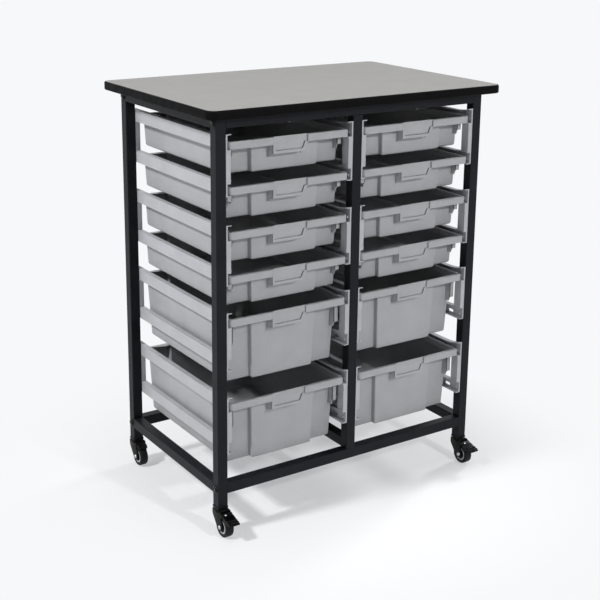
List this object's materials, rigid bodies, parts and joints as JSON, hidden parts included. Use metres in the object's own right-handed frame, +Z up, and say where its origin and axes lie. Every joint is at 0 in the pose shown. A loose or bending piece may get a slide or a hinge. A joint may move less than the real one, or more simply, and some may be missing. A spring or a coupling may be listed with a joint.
{
  "type": "mobile bin storage unit",
  "caption": "Wheeled storage unit: a square-tube frame with a worktop carries two bays of shallow and deep pull-out bins on moulded runners, on swivel casters with brakes.",
  "frame": {"origin": "floor level under the middle of the unit's box", "axes": "+X along the front to the right, +Y from front to back, +Z up"},
  "size_m": [0.802, 0.544, 0.983],
  "materials": {
    "laminate": "matt grey laminate",
    "edging": "satin black",
    "frame_paint": "fine-textured charcoal powder coat",
    "runner_plastic": "light grey moulded plastic",
    "bin_plastic": "light grey moulded plastic, fine grain",
    "black_plastic": "black moulded nylon",
    "hub_plastic": "light grey moulded plastic",
    "tyre": "matt black rubber",
    "zinc_steel": "zinc plated",
    "black_bolt": "black oxide"
  },
  "bodies": {
    "frame": {"worktop_panel": "laminate", "worktop_edging": "edging", "upright_front_left": "frame_paint", "upright_front_middle": "frame_paint", "upright_front_right": "frame_paint", "upright_rear_left": "frame_paint", "upright_rear_middle": "frame_paint", "upright_rear_right": "frame_paint", "rail_front_top": "frame_paint", "rail_front_bottom": "frame_paint", "rail_rear_top": "frame_paint", "rail_rear_bottom": "frame_paint", "side_rail_left_top": "frame_paint", "side_rail_left_bottom": "frame_paint", "side_rail_middle_top": "frame_paint", "side_rail_middle_bottom": "frame_paint", "side_rail_right_top": "frame_paint", "side_rail_right_bottom": "frame_paint", "runners_level_1": "runner_plastic", "runners_level_2": "runner_plastic", "runners_level_3": "runner_plastic", "runners_level_4": "runner_plastic", "runner_screws": "zinc_steel", "leg_sockets": "black_plastic", "caster_stems": "zinc_steel", "frame_bolts": "black_bolt", "worktop_screws": "zinc_steel"},
    "bin_left_1": {"bin_left_1": "bin_plastic"},
    "bin_left_2": {"bin_left_2": "bin_plastic"},
    "bin_left_3": {"bin_left_3": "bin_plastic"},
    "bin_left_4": {"bin_left_4": "bin_plastic"},
    "bin_left_5": {"bin_left_5": "bin_plastic"},
    "bin_left_6": {"bin_left_6": "bin_plastic"},
    "bin_right_1": {"bin_right_1": "bin_plastic"},
    "bin_right_2": {"bin_right_2": "bin_plastic"},
    "bin_right_3": {"bin_right_3": "bin_plastic"},
    "bin_right_4": {"bin_right_4": "bin_plastic"},
    "bin_right_5": {"bin_right_5": "bin_plastic"},
    "bin_right_6": {"bin_right_6": "bin_plastic"},
    "caster_front_left": {"caster_fork_front_left": "black_plastic", "caster_axle_front_left": "zinc_steel"},
    "wheel_front_left": {"wheel_hub_front_left": "hub_plastic", "wheel_tyre_front_left": "tyre"},
    "pedal_front_left": {"brake_pedal_front_left": "black_plastic", "brake_rivet_front_left": "zinc_steel"},
    "caster_front_right": {"caster_fork_front_right": "black_plastic", "caster_axle_front_right": "zinc_steel"},
    "wheel_front_right": {"wheel_hub_front_right": "hub_plastic", "wheel_tyre_front_right": "tyre"},
    "pedal_front_right": {"brake_pedal_front_right": "black_plastic", "brake_rivet_front_right": "zinc_steel"},
    "caster_rear_left": {"caster_fork_rear_left": "black_plastic", "caster_axle_rear_left": "zinc_steel"},
    "wheel_rear_left": {"wheel_hub_rear_left": "hub_plastic", "wheel_tyre_rear_left": "tyre"},
    "caster_rear_right": {"caster_fork_rear_right": "black_plastic", "caster_axle_rear_right": "zinc_steel"},
    "wheel_rear_right": {"wheel_hub_rear_right": "hub_plastic", "wheel_tyre_rear_right": "tyre"}
  },
  "joints": [
    {"name": "bin_left_1_slide", "type": "slide", "parent": "frame", "child": "bin_left_1", "axis": [0, -1, 0], "range_m": [0, 0.3]},
    {"name": "bin_left_2_slide", "type": "slide", "parent": "frame", "child": "bin_left_2", "axis": [0, -1, 0], "range_m": [0, 0.3]},
    {"name": "bin_left_3_slide", "type": "slide", "parent": "frame", "child": "bin_left_3", "axis": [0, -1, 0], "range_m": [0, 0.3]},
    {"name": "bin_left_4_slide", "type": "slide", "parent": "frame", "child": "bin_left_4", "axis": [0, -1, 0], "range_m": [0, 0.3]},
    {"name": "bin_left_5_slide", "type": "slide", "parent": "frame", "child": "bin_left_5", "axis": [0, -1, 0], "range_m": [0, 0.3]},
    {"name": "bin_left_6_slide", "type": "slide", "parent": "frame", "child": "bin_left_6", "axis": [0, -1, 0], "range_m": [0, 0.3]},
    {"name": "bin_right_1_slide", "type": "slide", "parent": "frame", "child": "bin_right_1", "axis": [0, -1, 0], "range_m": [0, 0.3]},
    {"name": "bin_right_2_slide", "type": "slide", "parent": "frame", "child": "bin_right_2", "axis": [0, -1, 0], "range_m": [0, 0.3]},
    {"name": "bin_right_3_slide", "type": "slide", "parent": "frame", "child": "bin_right_3", "axis": [0, -1, 0], "range_m": [0, 0.3]},
    {"name": "bin_right_4_slide", "type": "slide", "parent": "frame", "child": "bin_right_4", "axis": [0, -1, 0], "range_m": [0, 0.3]},
    {"name": "bin_right_5_slide", "type": "slide", "parent": "frame", "child": "bin_right_5", "axis": [0, -1, 0], "range_m": [0, 0.3]},
    {"name": "bin_right_6_slide", "type": "slide", "parent": "frame", "child": "bin_right_6", "axis": [0, -1, 0], "range_m": [0, 0.3]},
    {"name": "caster_front_left_swivel", "type": "hinge", "parent": "frame", "child": "caster_front_left", "pos_m": [-0.355, -0.208, 0.06], "axis": [0, 0, 1], "continuous": true},
    {"name": "wheel_front_left_roll", "type": "hinge", "parent": "caster_front_left", "child": "wheel_front_left", "pos_m": [-0.355, -0.228, 0.025], "axis": [1, 0, 0], "continuous": true},
    {"name": "pedal_front_left_tilt", "type": "hinge", "parent": "caster_front_left", "child": "pedal_front_left", "pos_m": [-0.355, -0.2345, 0.0545], "axis": [-1, 0, 0], "range_deg": [0, 18]},
    {"name": "caster_front_right_swivel", "type": "hinge", "parent": "frame", "child": "caster_front_right", "pos_m": [0.355, -0.208, 0.06], "axis": [0, 0, 1], "continuous": true},
    {"name": "wheel_front_right_roll", "type": "hinge", "parent": "caster_front_right", "child": "wheel_front_right", "pos_m": [0.355, -0.228, 0.025], "axis": [1, 0, 0], "continuous": true},
    {"name": "pedal_front_right_tilt", "type": "hinge", "parent": "caster_front_right", "child": "pedal_front_right", "pos_m": [0.355, -0.2345, 0.0545], "axis": [-1, 0, 0], "range_deg": [0, 18]},
    {"name": "caster_rear_left_swivel", "type": "hinge", "parent": "frame", "child": "caster_rear_left", "pos_m": [-0.355, 0.224, 0.06], "axis": [0, 0, 1], "continuous": true},
    {"name": "wheel_rear_left_roll", "type": "hinge", "parent": "caster_rear_left", "child": "wheel_rear_left", "pos_m": [-0.355, 0.204, 0.025], "axis": [1, 0, 0], "continuous": true},
    {"name": "caster_rear_right_swivel", "type": "hinge", "parent": "frame", "child": "caster_rear_right", "pos_m": [0.355, 0.224, 0.06], "axis": [0, 0, 1], "continuous": true},
    {"name": "wheel_rear_right_roll", "type": "hinge", "parent": "caster_rear_right", "child": "wheel_rear_right", "pos_m": [0.355, 0.204, 0.025], "axis": [1, 0, 0], "continuous": true}
  ]
}
